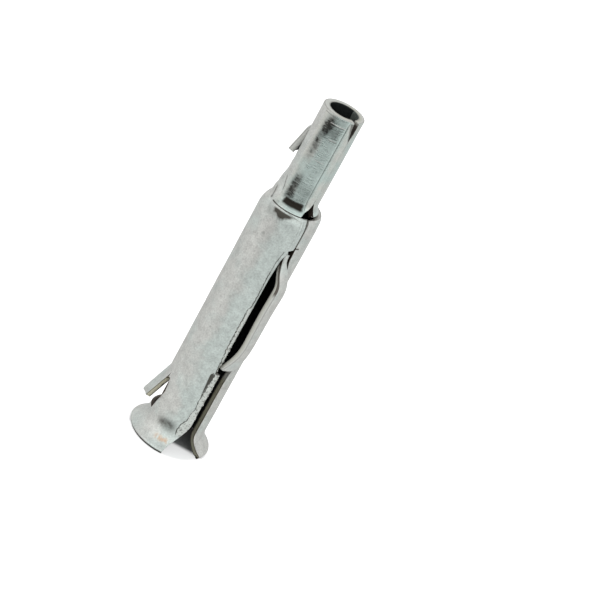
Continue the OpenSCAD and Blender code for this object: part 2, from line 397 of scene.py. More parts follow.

# %% [markdown]
# Lancing tore the surface a little to the left of the slot: the strip between the tear and the edge is
# rolled down. Below the slot a tool has left a kite-shaped dent, and further down the strip is pinched up
# into a small lap. These shapes are pushed into the grid here; the finish draws the dark lines and the
# dent's painted shade on them.

# %% Shear marks
TEAR = [(3, -2.5), (4, -2.6), (5.2, -2.5), (6.2, -2.0), (7.5, -1.97), (8.4, -1.7), (10.2, -1.86), (15, -1.6),
        (17.8, -1.78), (20.4, -1.96), (27.6, -2.02), (28.0, -1.72), (30.2, -1.71), (33.4, -1.8),
        (36.3, -1.75), (38.5, -1.35)]
KITE = [(10.2, 0.0), (12.8, 0.22), (15.05, 0.37), (15.48, 0.0)]
KITE_MID = -1.92
LAP_Z, LAP_REACH, LAP_HALF_H, LAP_HALF_W = 4.5, -2.05, 1.7, 0.55
STRIP_SUNK, KITE_SUNK, LAP_RAISED, RAGGED = 0.06, 0.15, 0.07, 0.035


def kite_share(reach, z):
    """1 inside the kite-shaped dent and 0 outside it."""
    if not KITE[0][0] < z < KITE[-1][0]:
        return 0
    return smooth((along(KITE, z) - abs(reach - KITE_MID)) / 0.15)


def tear_dent(reach, z):
    """How deep the strip beside the slot, the kite and the lap lie, at a reach from the seam."""
    if z < RIM_TOP + 0.2:
        return 0.0
    beyond = reach - along(TEAR, z)
    strip = STRIP_SUNK * smooth(beyond / 0.15) * smooth((z - 5.8) / 1.5) * smooth((NOTCH_Z - z) / 3)
    kite = KITE_SUNK * kite_share(reach, z)
    off_lap = ((reach - LAP_REACH) / LAP_HALF_W) ** 2 + ((z - LAP_Z) / LAP_HALF_H) ** 2
    lap = -LAP_RAISED * smooth(1 - off_lap)
    ragged = noise.noise(Vector((0, reach * 1.2, z * 2.2))) * RAGGED * smooth(beyond / 0.2)
    return strip + kite + lap + ragged * smooth((15 - z) / 2)


print("tear from", TEAR[0][0], "to", TEAR[-1][0], "mm high")

# %% [markdown]
# Cutting and bending also moved the sheet beside the cuts. The cross slit leaves the top edge of the barrel
# standing proud in front, the barb has pulled the corner of its window out with it, and the neck was drawn
# in less at its left. Each is a small push outwards, so each is a function of direction and height.

# %% Pushed-out places
BEND = 1.0
BARB_LEAN = 18.6
TOP_PROUD, PROUD_FROM = 0.3, 42.0
CORNER_H = 0.9
NECK_SWELL = 0.36


def in_front(angle, z):
    """How much the barrel's top edge stands proud of the shoulder's arc beside the cross slit."""
    if angle > 180:
        around = 0.2 * smooth((angle - 306) / 14) + 0.5 * smooth((angle - 400) / 20)
    else:
        around = smooth((152 - angle) / 14)
    return TOP_PROUD * around * smooth((z - PROUD_FROM) / 1.9) if z < SLIT_Z - 0.01 else 0


def barb_pull(angle, z):
    """How far the barb has pulled the front corner of its window outwards."""
    foot = BARB_CORNER - CORNER_H
    if not foot < z < BARB_WINDOW["high"]:
        return 0
    near = smooth((312 - angle) / 10) * smooth((angle - BARB_SPAN[1] + 0.1) * 50)
    return bent(BARB_WINDOW["high"] - z)[0] * near * smooth((z - foot) / CORNER_H)


def bent(distance):
    """How far a bent tongue has gone out and down after a distance along it, and its slope there."""
    turn = math.radians(BARB_LEAN)
    curled = min(distance, BEND)
    slope = turn * curled / BEND
    radius = BEND / turn
    rest = max(distance - BEND, 0)
    out_by = radius * (1 - math.cos(slope)) + rest * math.sin(turn)
    return out_by, radius * math.sin(slope) + rest * math.cos(turn), slope


def neck_swell(angle, z):
    """The neck was drawn in less at its left: how far it stands out there."""
    around = smooth((310 - angle) / 24) * smooth((angle - 215) / 25)
    return NECK_SWELL * around * smooth((48.8 - z) / 2.6) * smooth((z - 43.9) / 1.5)


window_h = BARB_WINDOW["high"] - BARB_WINDOW["low"]
print(f"a barb as long as its window stands out by {bent(window_h)[0]:.2f} mm")

# %% [markdown]
# The sleeve is now read off the grid: where each point lies, which cells the windows and the slot leave out,
# and which edges are bend lines that another piece carries on from.

# %% Sleeve sheet
def sleeve_point(i, j):
    z = sleeve_rows[i]
    angle, follow = sleeve_column(j, z)
    sunk, dent, past_tear = 0.0, 0.0, NO_TEAR
    if j >= FIRST_BAND:
        reach = outer(max(z, RIM_EDGE))[0] * math.sin(math.radians(angle - 360 - SEAM))
        sunk, dent = tear_dent(reach, z), kite_share(reach, z)
        past_tear = reach - along(TEAR, z) if TEAR[0][0] < z < TEAR[-1][0] else NO_TEAR
    pushed_out = in_front(angle, z) + barb_pull(angle, z) + neck_swell(angle % 360, z)
    out, within = sheet_point(angle, z, follow, sunk, -pushed_out)
    return out, within, past_tear, dent


def in_span(angle, span):
    return span[0] < angle < span[1]


def plain_angle(j):
    """Middle of a plain cell, or nothing for a cell beside the seam."""
    if FIRST_PLAIN <= j < FIRST_BAND - 1:
        return (plain[j - FIRST_PLAIN] + plain[j - FIRST_PLAIN + 1]) / 2
    return None


def sleeve_kept(i, j):
    z, angle = (sleeve_rows[i] + sleeve_rows[i + 1]) / 2, plain_angle(j)
    if z > BARREL_TOP:
        windowed = NOSE_WINDOW["low"] < z < NOSE_WINDOW["high"] and angle is not None and in_span(
            angle, (NOSE_WINDOW["back"], NOSE_WINDOW["front"]))
        return angle is not None and in_span(angle, SPINE) and not windowed
    if j >= LAST_SHARED:
        return not SLOT_Z < z < ROOT_Z
    in_window = angle is not None and in_span(angle, (BARB_WINDOW["back"], BARB_WINDOW["front"]))
    top = BARB_CORNER if angle is not None and angle > BARB_SPAN[1] else BARB_WINDOW["high"]
    return not (in_window and BARB_WINDOW["low"] < z < top)


def sleeve_rooted(a, b):
    """True where a wing, a barb or the finger carries the sheet on."""
    (i, j), (k, m) = a, b
    z, top = sleeve_rows[i], sleeve_rows[k]
    if i != k:
        angle = plain[j - FIRST_PLAIN] if FIRST_PLAIN <= j < FIRST_BAND else None
        return min(z, top) >= SLIT_Z - 1e-4 and angle in SPINE
    if abs(z - ROOT_Z) < 1e-4:
        return min(j, m) >= LAST_SHARED
    angle = plain_angle(min(j, m))
    at_barrel = abs(z - BARB_WINDOW["high"]) < 1e-4 and angle is not None and in_span(angle, BARB_SPAN)
    at_nose = abs(z - NOSE_WINDOW["high"]) < 1e-4 and angle is not None and in_span(angle, NOSE_BARB_SPAN)
    return at_barrel or at_nose


sleeve = shell("sleeve_sheet", len(sleeve_rows), column_count, sleeve_point, sleeve_kept, sleeve_rooted)
print("sleeve:", len(sleeve.data.polygons), "faces")

# %% [markdown]
# The nose's two wings are the same sheet, free along the seam and along the cross slit. Rolling leaves the
# last millimetre beside a seam flat, which shows on the front wing as a bright land. The drawing tool has
# scored the front wing across in three places.

# %% Nose wings
TIP_LEFT = [(56.8, -SEAM_HALF), (58.8, -0.5), (60.0, -0.62)]
TIP_RIGHT = [(56.8, SEAM_HALF), (58.4, 0.34), (60.0, 0.35)]
BASE_LEFT = [(44.1, -1.65), (45.15, -0.55), (46.2, -SEAM_HALF)]
BASE_RIGHT = [(44.1, 0.85), (44.6, 0.85), (46.2, SEAM_HALF)]
LAND = 1.28
LAND_LIFT, LAND_CREASE = 0.12, 0.04
SCORES = [(58.75, -17, 29, 0.05, 0.09), (56.45, -3, 24, 0.045, 0.07), (52.65, -12, 21, 0.035, 0.07)]
FRONT_ROOT, REAR_ROOT = SPINE[1] - 360, SPINE[0]
WING_SPAN = NOSE_SEAM - FRONT_ROOT
WING_STEP = 0.14
FRONT_DRAWN, REAR_DRAWN = 0.03, 0.26  # how far the foot of each wing was drawn in
LIP_TOP, LIP_OUT, LIP_SAG = 44.7, 0.14, 0.07
wing_rows = steps(SLIT_Z, 44.6, 45.15, 46.2, NOSE_Z, 56.8, 58.4, LENGTH, step=WING_STEP)


def score_mark(angle, z):
    """Depth and darkness of the drawing tool's scores across the front wing."""
    depth = dark = 0.0
    for height, start, end, deep, wide in SCORES:
        inside = smooth((angle - start) / 6) * smooth((end - angle) / 5)
        wave = noise.noise(Vector((angle * 0.08, height, 0))) * 0.09
        off = (z - height - wave) / wide
        depth += deep * inside * (math.exp(-off * off) - 0.7 * math.exp(-((off - 1.6) ** 2)))
        dark += 0.8 * inside * math.exp(-off * off)
    return depth, min(dark, 1)


def wing(name, root, reaches, columns, land):
    """One nose wing, from its root to its free edge; only the front one has the land and the scores."""
    last = WING_STEP / math.radians(WING_SPAN) / NOSE_R
    shares = [k / columns * (1 - last) for k in range(columns + 1)] + [1.0]

    def point(i, j):
        z = wing_rows[i]
        r = outer(z)[0]
        free = NOSE_SEAM + math.degrees(math.asin(along(reaches, z) / r))
        angle = mix(root, free, shares[j])
        sunk, dark = score_mark(angle, z) if land else (0.0, 0.0)
        beside = math.radians(NOSE_SEAM - angle) * r
        lift = min(max(LAND - beside, 0) ** 2 / 2 / r, LAND_LIFT) if land else 0
        crease = LAND_CREASE * math.exp(-(((beside - LAND) / 0.1) ** 2)) if land else 0
        drawn_in = (FRONT_DRAWN if land else REAR_DRAWN) * smooth((NOSE_Z - z) / 2.2)
        drawn_in -= LIP_OUT * smooth((LIP_TOP - z) / 0.55)
        drawn_in *= smooth(abs(angle - root) / 22)
        sagged = LIP_SAG * smooth((LIP_TOP - z) / 0.5) if land else 0
        out, within = sheet_point(angle, z - sagged, 0.0, sunk + crease - lift, drawn_in)
        return out, within, beside - LAND if land else NO_TEAR, dark

    return shell(name, len(wing_rows), len(shares), point, lambda i, j: True,
                 lambda a, b: a[1] == 0 and b[1] == 0)


front_wing = wing("nose_front_wing_sheet", FRONT_ROOT, BASE_LEFT + TIP_LEFT, 64, True)
rear_wing = wing("nose_rear_wing_sheet", REAR_ROOT, BASE_RIGHT + TIP_RIGHT, 34, False)
print("wings:", len(front_wing.data.polygons), "and", len(rear_wing.data.polygons), "faces")

# %% [markdown]
# A barb is a tongue of the sleeve's own wall, cut free on three sides and bent out about its root. The
# bend is a real one: the tongue curls through its first millimetre and then runs straight.

# %% Barbs
BARB_COLUMNS, BARB_STEP = 20, 0.2
NARROWED = 0.04


def barb(name, span, root_z, long, r, slanted=0.0, bowed=0.0):
    """A tongue over a span of directions; slanted lengthens its left side and bowed arches it."""
    half = (span[1] - span[0]) / 2
    centre = (span[0] + span[1]) / 2 - 360
    rows = steps(0.0, BEND, long, step=BARB_STEP)
    hinge = (r - SHEET) * math.cos(math.radians(half))

    def point(i, j):
        side = mix(-half, half, j / BARB_COLUMNS)
        reach = rows[i] * (1 + slanted * smooth((half * 0.9 - side) / half) * smooth(rows[i] / long))
        out_by, down, slope = bent(reach)
        out_by += bowed * smooth(rows[i] / 1.3) * (1 - rows[i] / long)
        narrow = 1 - NARROWED * smooth(rows[i] / long)
        made = []
        for radius in (r, r - SHEET):
            flat = place(radius, side * narrow, 0)
            thick = -flat.y - hinge
            out_at = hinge + out_by + thick * math.cos(slope)
            local = Vector((flat.x, -out_at, root_z - down + thick * math.sin(slope)))
            made.append(Matrix.Rotation(math.radians(centre), 3, "Z") @ local)
        bump = wobble(made[0], 1.5, 0.012) * smooth(rows[i] / BEND)
        made[0] += place(1, centre, 0) * bump
        return made[0], made[1], NO_TEAR, 0.0

    return shell(name, len(rows), BARB_COLUMNS + 1, point, lambda i, j: True,
                 lambda a, b: a[0] == 0 and b[0] == 0)


barrel_barb = barb("barrel_barb_tongue", BARB_SPAN, BARB_WINDOW["high"], 6.3, BARREL_R, slanted=0.12)
nose_barb = barb("nose_barb_tongue", NOSE_BARB_SPAN, NOSE_WINDOW["high"], 5.7, NOSE_R, bowed=0.38)
print("barbs:", len(barrel_barb.data.polygons), "and", len(nose_barb.data.polygons), "faces")

# %% [markdown]
# The finger is swept along its own path: narrow at the neck, then full width, bowed out, leaned to the
# right and twisted, and back into the slot at its free end. Each station is a thin crowned slab.

# %% Seam finger
FINGER_W, NECK_W = 2.1, 0.75
BOW, SHIFT, TWIST, LIFT, FALL = 1.12, 0.9, 22.0, 0.22, 0.72
NECK_MID, END_LEFT = 0.625, 0.25
CROWN = FINGER_W * FINGER_W / 8 / BARREL_R
NECK_SHIFT, BURIED = 0.13, 0.03
LEFT_PULL = [(0, 0), (0.1, 0.28), (0.2, 0.38), (0.29, 0.3), (0.38, 0.16), (0.48, 0.07), (0.75, 0.06),
             (0.9, 0)]
RIGHT_PULL = [(0, 0), (0.15, 0), (0.22, 0.1), (0.29, 0.25), (0.37, 0.14), (0.46, 0), (0.75, -0.12),
              (0.9, 0)]
FINGER_ROWS = 120
finger_rows = [-0.03, -0.015, -0.002] + [k / FINGER_ROWS for k in range(1, FINGER_ROWS + 1)]
finger_columns = [0, 0.13, 0.24, 0.35, 0.45, 0.55, 0.65, 0.76, 0.87, 1]


def finger_station(t):
    """Side reach, outward reach, turn, width and crown of the finger at a share of its length."""
    bow = smooth(t / 0.25) * (1 - (max(t - FALL, 0) / (1 - FALL)) ** 2)
    grown = smooth(t / 0.16)
    side = -mix(NECK_MID, END_LEFT, max(t, 0)) + mix(SHIFT + NECK_SHIFT, SHIFT, smooth(t)) * bow
    turn = math.radians(TWIST * bow - mix(math.degrees(NECK_MID / BARREL_R), 0, max(t, 0)))
    buried = BURIED * smooth(-t / 0.02)
    left, right = along(LEFT_PULL, t), along(RIGHT_PULL, t)
    side += (left + right) / 2
    width = mix(NECK_W, FINGER_W, grown) + right - left
    return side, BARREL_R + LIFT * max(t, 0) + BOW * bow - buried, turn, width, CROWN * grown


def finger_point(i, j):
    t, across = finger_rows[i], finger_columns[j] * 2 - 1
    side, out, turn, width, crown = finger_station(t)
    z = mix(ROOT_Z, FINGER_END, t)
    made = []
    for depth in (0, -SHEET):
        x, y = across * width / 2, crown * (1 - across * across) + depth
        reach = side + x * math.cos(turn) + y * math.sin(turn)
        away = out - x * math.sin(turn) + y * math.cos(turn)
        made.append(Matrix.Rotation(math.radians(SEAM), 3, "Z") @ Vector((reach, -away, z)))
    made[0] += (made[0] - made[1]) * (wobble(made[0], 1.3, 0.012) * smooth(t * 20))
    return made[0], made[1], NO_TEAR, 0.0


finger = shell("seam_finger_strap", len(finger_rows), len(finger_columns), finger_point, lambda i, j: True,
               lambda a, b: a[0] == 0 and b[0] == 0)
print("finger:", len(finger.data.polygons), "faces")

# %% [markdown]
# Each piece has its transform baked in, and the sleeve joins the body that it moves with. A wing, a barb and
# the finger are the sleeve's own sheet; the list below names the body, the root and the free point of each.

# %% Bodies
WING_TURN, WING_MID_Z = 24.5, 52  # a wing's turn grows over so many degrees, measured at that height
FINGER_TURN = 1.7  # and the finger's over so many millimetres below its root


def on_axis(z):
    return Vector((0, 0, z))


def on_nose(angle):
    return place(NOSE_R, angle, WING_MID_Z)


roots = (
    (front_wing, "front_wing", on_nose(FRONT_ROOT), on_nose(FRONT_ROOT + WING_TURN)),
    (rear_wing, "rear_wing", on_nose(REAR_ROOT), on_nose(REAR_ROOT - WING_TURN)),
    (nose_barb, "upper_barb", on_axis(NOSE_WINDOW["high"]), on_axis(NOSE_WINDOW["high"] - BEND)),
    (barrel_barb, "lower_barb", on_axis(BARB_WINDOW["high"]), on_axis(BARB_WINDOW["high"] - BEND)),
    (finger, "finger", on_axis(ROOT_Z), on_axis(ROOT_Z - FINGER_TURN)),
)
for piece, body, root, free in roots:
    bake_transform(piece)
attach(sleeve, "sleeve")
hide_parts("barrel", "mouth_flare", "shoulder_neck", "nose_spine")
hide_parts("nose_front_wing")
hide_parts("nose_rear_wing")
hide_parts("nose_barb")
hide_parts("barrel_barb")
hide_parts("seam_finger")
print(len(roots) + 1, "pieces ride on the frame")

# %% [markdown]
# The finishes are node trees, so a few small helpers keep them readable: feed sets or links a socket, calc is
# one Math node, and the others join any number of values with one operation.

# %% Node helpers
def feed(tree, socket, value):
    """Links a socket to another one, or sets its value."""
    if isinstance(value, bpy.types.NodeSocket):
        tree.links.new(value, socket)
    else:
        socket.default_value = value


def fill(tree, sockets, values):
    """Feeds several sockets by name."""
    for name, value in values.items():
        feed(tree, sockets[name], value)


def calc(tree, operation, *values):
    """One Math node."""
    made = tree.nodes.new("ShaderNodeMath")
    made.operation = operation
    for socket, value in zip(made.inputs, values):
        feed(tree, socket, value)
    return made.outputs[0]


def chain(tree, operation, values):
    """Joins any number of values with one operation."""
    made = values[0]
    for value in values[1:]:
        made = calc(tree, operation, made, value)
    return made


def plus(tree, *values):
    return chain(tree, "ADD", values)


def minus(tree, value, other):
    return calc(tree, "SUBTRACT", value, other)


def times(tree, *values):
    return chain(tree, "MULTIPLY", values)


def most(tree, *values):
    return chain(tree, "MAXIMUM", values)


def at_most(tree, value, limit):
    return calc(tree, "MINIMUM", value, limit)


print("node helpers ready")

# %% [markdown]
# Noise runs from 0 to 1 about a half, and swing moves it to run about zero, so that it can push a value both
# ways. Fade is the smooth step that every soft edge of a mark is made of.

# %% Noise, fades and colours
def swing(tree, noise_value):
    return minus(tree, noise_value, 0.5)


def fade(tree, value, start, end):
    """0 at start and 1 at end, with a smooth step between; start may be the higher one."""
    made = tree.nodes.new("ShaderNodeMapRange")
    made.interpolation_type = "SMOOTHSTEP"
    fill(tree, made.inputs, {"Value": value, "From Min": start, "From Max": end})
    return made.outputs["Result"]


def blend_colour(tree, share, a, b):
    made = tree.nodes.new("ShaderNodeMix")
    made.data_type = "RGBA"
    fill(tree, made.inputs, {"Factor": share, "A": a, "B": b})
    return made.outputs["Result"]


def scaled(tree, vector, scale):
    made = tree.nodes.new("ShaderNodeVectorMath")
    made.operation = "SCALE"
    feed(tree, made.inputs[0], vector)
    feed(tree, made.inputs["Scale"], scale)
    return made.outputs[0]


def parts(tree, vector):
    """The x, y and z of a vector."""
    made = tree.nodes.new("ShaderNodeSeparateXYZ")
    feed(tree, made.inputs[0], vector)
    return made.outputs


def attribute(tree, name):
    """A value that the shells carry at each point."""
    made = tree.nodes.new("ShaderNodeAttribute")
    made.attribute_name = name
    return made.outputs["Fac"]


def grain(tree, where, scale, stretch=(1, 1, 1), detail=2.0):
    """Noise on a position in millimetres; scale is the number of blotches in a millimetre."""
    squeeze = tree.nodes.new("ShaderNodeMapping")
    fill(tree, squeeze.inputs, {"Vector": where, "Scale": stretch})
    made = tree.nodes.new("ShaderNodeTexNoise")
    fill(tree, made.inputs, {"Scale": scale, "Detail": detail, "Vector": squeeze.outputs["Vector"]})
    return made.outputs["Fac"]


print("noise and colour helpers ready")

# %% [markdown]
# What several finishes share is a node group, which shows as one box in the Shader Editor. A new group needs
# its sockets named first. A new material comes with a Principled shader, and a bump gives it fine relief.

# %% Groups and materials
def new_group(name, inputs, outputs):
    """A shader group with (name, kind) sockets: gives its tree, what it is given and what it gives."""
    tree = bpy.data.node_groups.new(name, "ShaderNodeTree")
    for direction, sockets in (("INPUT", inputs), ("OUTPUT", outputs)):
        for socket, kind in sockets:
            tree.interface.new_socket(socket, in_out=direction, socket_type="NodeSocket" + kind)
    return tree, tree.nodes.new("NodeGroupInput").outputs, tree.nodes.new("NodeGroupOutput").inputs


def use(tree, group, **values):
    made = tree.nodes.new("ShaderNodeGroup")
    made.node_tree = group
    fill(tree, made.inputs, values)
    return made.outputs


def new_material(name, metallic):
    material = bpy.data.materials.new(name)
    material.use_nodes = True
    shader = material.node_tree.nodes["Principled BSDF"]
    shader.inputs["Metallic"].default_value = metallic
    return material, material.node_tree, shader


def add_relief(tree, shader, height, strength, depth):
    """Fine relief from a height, as a bump of so many millimetres."""
    relief = tree.nodes.new("ShaderNodeBump")
    fill(tree, relief.inputs, {"Strength": strength, "Distance": depth * MM, "Height": height})
    feed(tree, shader.inputs["Normal"], relief.outputs["Normal"])


print("group and material helpers ready")

# %% [markdown]
# Every finish asks where it is on the plug: how high, in which direction, and how far from the seam. One
# group answers in millimetres and degrees, from Object coordinates, so nothing slides when a part moves.

# %% Places on the plug
plug_places, _, out = new_group(
    "plug_places", [], [("Position", "Vector"), ("Height", "Float"), ("Around", "Float"), ("Reach", "Float"),
                        ("Radius", "Float")])
position = scaled(plug_places, plug_places.nodes.new("ShaderNodeTexCoord").outputs["Object"], 1 / MM)
x, y, z = parts(plug_places, position)
turn = calc(plug_places, "ARCTAN2", x, times(plug_places, y, -1))
across = plus(plug_places, times(plug_places, x, math.cos(math.radians(SEAM))),
              times(plug_places, y, math.sin(math.radians(SEAM))))
squares = plus(plug_places, times(plug_places, x, x), times(plug_places, y, y))
fill(plug_places, out, {"Position": position, "Height": z, "Around": calc(plug_places, "DEGREES", turn),
                        "Reach": across, "Radius": calc(plug_places, "SQRT", squares)})
print("places group:", [item.name for item in plug_places.interface.items_tree])

# %% [markdown]
# Bright zinc is never one colour: the plating lies in soft clouds, some warm and some bluish, and the steel
# under it is finely grained. Three noises of different size make that: the largest picks the tint, and the
# two smaller ones make it lighter and darker.

# %% Zinc clouds
zinc_clouds, given, out = new_group(
    "zinc_clouds",
    [("Position", "Vector"), ("Cloud", "Float"), ("Cool", "Color"), ("Warm", "Color"), ("Bias", "Float"),
     ("Contrast", "Float")],
    [("Color", "Color"), ("Roughness", "Float"), ("Height", "Float")])
CLOUDS, PATCHES, FINE = 0.26, 0.9, 4.2  # blotches in a millimetre
PATCH_WEIGHT, FINE_WEIGHT = 1.25, 1.55
clouds = grain(zinc_clouds, given["Position"], CLOUDS, detail=3)
patches = grain(zinc_clouds, given["Position"], PATCHES)
fine = grain(zinc_clouds, given["Position"], FINE)
bias = plus(zinc_clouds, times(zinc_clouds, swing(zinc_clouds, clouds), given["Cloud"]), given["Bias"])
tint = blend_colour(zinc_clouds, fade(zinc_clouds, bias, 0.1, 0.9), given["Cool"], given["Warm"])
light = plus(zinc_clouds, times(zinc_clouds, swing(zinc_clouds, patches), PATCH_WEIGHT),
             times(zinc_clouds, swing(zinc_clouds, fine), FINE_WEIGHT))
light = plus(zinc_clouds, times(zinc_clouds, light, given["Contrast"]), 1.0)
fill(zinc_clouds, out, {"Color": scaled(zinc_clouds, tint, light), "Roughness": swing(zinc_clouds, patches),
                        "Height": plus(zinc_clouds, fine, times(zinc_clouds, patches, 2.0))})
print("zinc clouds group ready")

# %% [markdown]
# Every finish of the sheet starts the same way: plug places, clouds, then one metallic shader. Two small
# helpers hold that start and that end, so a change in one of them reaches all the zinc. The inside of the
# sleeve lies in shade, and the end paints that shade: the finish darkens with the depth in the sheet.

# %% Zinc on the sheet
# The first colour is painted shade on the inner face; the nose's lighter one near the tip is painted light.
SHADED_INSIDE, NOSE_INSIDE = (0.035, 0.04, 0.04, 1), (0.26, 0.29, 0.27, 1)
DARK_MARK_AND_SHADE, MARK_SHADE_AND_REFLECTION = (0.05, 0.046, 0.038, 1), (0.02, 0.018, 0.015, 1)
CLOUDINESS = 2.2
GRAIN_DEPTH = 0.012


def zinc_base(name, cool, warm, bias, contrast):
    """Starts a zinc finish: gives it, its tree, its shader, the places and the clouds' outputs."""
    material, tree, shader = new_material(name, 1.0)
    places = use(tree, plug_places)
    look = use(tree, zinc_clouds, Position=places["Position"], Cloud=CLOUDINESS, Cool=cool, Warm=warm,
               Bias=bias(tree, places), Contrast=contrast)
    return material, tree, shader, places, look


def finish_zinc(tree, shader, colour, rough, height, inner_shading=SHADED_INSIDE):
    """Paints shade on the sheet's inner face, then joins colour, roughness and bump to the shader."""
    inside = fade(tree, attribute(tree, "sheet_depth"), 0.5, 0.9)
    fill(tree, shader.inputs, {"Base Color": blend_colour(tree, inside, colour, inner_shading),
                               "Roughness": plus(tree, rough, times(tree, inside, 0.3))})
    add_relief(tree, shader, height, 0.5, GRAIN_DEPTH)


print("zinc helpers ready")

# %% [markdown]
# Marks are painted with masks instead of images, so they stay sharp at any size and need no unwrapping: a
# streak is a band around one value, a patch is a band around two, and a spot is round. Directions are in
# degrees round from the front, heights and reaches in millimetres.

# %% Masks
def streak(tree, value, middle, wide, soft):
    """1 within a band about a middle value, 0 outside it."""
    off = calc(tree, "ABSOLUTE", minus(tree, value, middle))
    return fade(tree, off, wide + soft, max(wide - soft, 0))


def patch(tree, places, around, height, soft_around, soft_height):
    """1 within a patch: around and height are (middle, half width) in degrees and millimetres."""
    return times(tree, streak(tree, places["Around"], *around, soft_around),
                 streak(tree, places["Height"], *height, soft_height))


def spot(tree, places, middle, size):
    """1 at a place on the plug, fading to 0 at a distance in millimetres."""
    made = tree.nodes.new("ShaderNodeVectorMath")
    made.operation = "DISTANCE"
    feed(tree, made.inputs[0], places["Position"])
    feed(tree, made.inputs[1], middle)
    return fade(tree, made.outputs["Value"], size, size * 0.3)


def from_direction(tree, places, start, end):
    """0 before one direction round the plug and 1 past another."""
    return fade(tree, places["Around"], start, end)


def from_height(tree, places, start, end):
    """0 at one height and 1 at another; start may be the higher one."""
    return fade(tree, places["Height"], start, end)


print("mask helpers ready")

# %% [markdown]
# The barrel keeps the plating as it came: soft clouds, bluish just right of the front and warmer to the left
# of it. The marks and the painted shade follow in cells of their own, each group named for what it shows.

# %% Barrel clouds
COOL, WARM = (0.552, 0.607, 0.58, 1), (0.588, 0.595, 0.568, 1)
BARREL_CONTRAST = 0.42


def towards_left(tree, places):
    return minus(tree, 0.75, streak(tree, places["Around"], 16, 22, 22))


barrel_zinc, tree, shader, places, look = zinc_base("barrel_zinc", COOL, WARM, towards_left, BARREL_CONTRAST)
print("barrel clouds:", len(tree.nodes), "nodes")

# %% [markdown]
# Lancing left a dark torn line beside the slot. The shells carry how far each point is past that line, so
# the line is a narrow band about zero, made ragged and uneven by noise. The strip beyond it is scaly and
# pale; the kite-shaped dent below is painted dark as its shade, and the notch that runs from the slot's top
# end is a painted shadow.

# %% Torn line
past_tear = attribute(tree, "past_tear")
ragged = swing(tree, grain(tree, places["Position"], 2.4, (0.3, 0.3, 1), 3))
off_tear = calc(tree, "ABSOLUTE", plus(tree, past_tear, times(tree, ragged, 0.3)))
heavy = fade(tree, grain(tree, places["Position"], 0.8), 0.32, 0.55)
tear_line = times(tree, fade(tree, off_tear, 0.1, 0.03), plus(tree, times(tree, heavy, 0.5), 0.5))
# Painted shade in the kite-shaped dent, and below it a painted shadow at the slot's top end.
dent_shade = fade(tree, attribute(tree, "dent"), 0.15, 0.8)
notch_shadow = times(tree, streak(tree, places["Height"], 39.1, 0.1, 0.06),
              streak(tree, places["Reach"], 0.4, 0.35, 0.1), from_direction(tree, places, 0, 10))
strip = times(tree, fade(tree, past_tear, 0.03, 0.12), fade(tree, places["Reach"], -0.2, -0.6),
              from_height(tree, places, 28.2, 27.4))
scales = fade(tree, grain(tree, places["Position"], 3.2, (0.7, 0.7, 1)), 0.56, 0.66)
# This joins the torn line and the strip with the painted shade of the dent and the painted shadow of the
# notch.
tears = most(tree, times(tree, tear_line, 0.95), times(tree, dent_shade, 0.92), notch_shadow,
             times(tree, strip, scales, 0.6))
print("torn line:", len(tree.nodes), "nodes")

# %% [markdown]
# Painted shade darkens the barrel where two pieces meet. Under the wing's lip it hangs down to a ragged
# point, with a thinner veil beside it and a line in the notch, and the flare's hollow holds a painted dark
# reflection.

# %% Painted shade on the barrel
LIP_SHADE_AT, LIP_SHADE_FOOT = -9, 42.3  # direction and height of the lowest point under the lip
shade_noise = swing(tree, grain(tree, places["Position"], 1.1, detail=3))
# Painted shade under the wing's lip, hanging lowest at one direction and height.
off_lip_shade = plus(tree, places["Around"], -LIP_SHADE_AT)
lowest = plus(tree, most(tree, times(tree, off_lip_shade, -0.03), times(tree, off_lip_shade, 0.05)), LIP_SHADE_FOOT)
lowest = plus(tree, lowest, times(tree, shade_noise, 0.9))
under_lip_shade = times(tree, fade(tree, minus(tree, places["Height"], lowest), -0.2, 0.8),
                  from_height(tree, places, 43.85, 43.5), from_direction(tree, places, -40, -22), 1.25)
beside_lip_shade = times(tree, patch(tree, places, (-30, 11), (43.0, 0.5), 9, 0.7), 0.36)
notch_shade = times(tree, patch(tree, places, (40, 7), (44.0, 0.16), 3, 0.06), 0.95)
# A painted dark reflection in the flare's hollow.
flare_reflection = times(tree, patch(tree, places, (-12, 15), (4.1, 0.35), 12, 0.95),
                 plus(tree, times(tree, shade_noise, 1.6), 0.85))
# All of this is painted shade, with the flare's patch a painted reflection.
barrel_painted_shade = most(tree, at_most(tree, under_lip_shade, 0.97), beside_lip_shade, notch_shade, flare_reflection)
print("barrel shading:", len(tree.nodes), "nodes")

# %% [markdown]
# The smaller marks are two hair lines beside the seam, two pits, the creases at the neck's left foot, the
# dark line round the mouth's cut edge and a faint grey down the middle.

# %% Small marks on the barrel
hair_lines = most(tree, *(streak(tree, places["Reach"], reach, 0.02, 0.05) for reach in (-1.03, -0.62)))
hair_lines = times(tree, hair_lines, streak(tree, places["Height"], 41.5, 2.0, 0.3),
                   from_direction(tree, places, 0, 10), heavy, 0.4)
pits = most(tree, spot(tree, places, place(BARREL_R, -22.7, 39.44), 0.42),
            spot(tree, places, place(BARREL_R, -27.4, 21.9), 0.3))
CREASE_Z, CREASE_SLANT = 44.8, 5.4  # the creases lean by so many degrees for each millimetre up
slant = plus(tree, places["Around"], times(tree, minus(tree, places["Height"], CREASE_Z), CREASE_SLANT))
upper_crease = times(tree, streak(tree, slant, -41, 0.8, 2.0),
                     streak(tree, places["Height"], 46.95, 1.1, 0.4))
lower_crease = times(tree, streak(tree, slant, -62.5, 1.0, 2.4),
                     streak(tree, places["Height"], 44.95, 0.8, 0.3))
crease_end = spot(tree, places, place(3.93, -57.7, 44.14), 0.3)
creases = times(tree, most(tree, upper_crease, lower_crease, crease_end), 0.7)
rim_line = times(tree, from_height(tree, places, RIM_EDGE, RIM_EDGE / 2), 0.93)
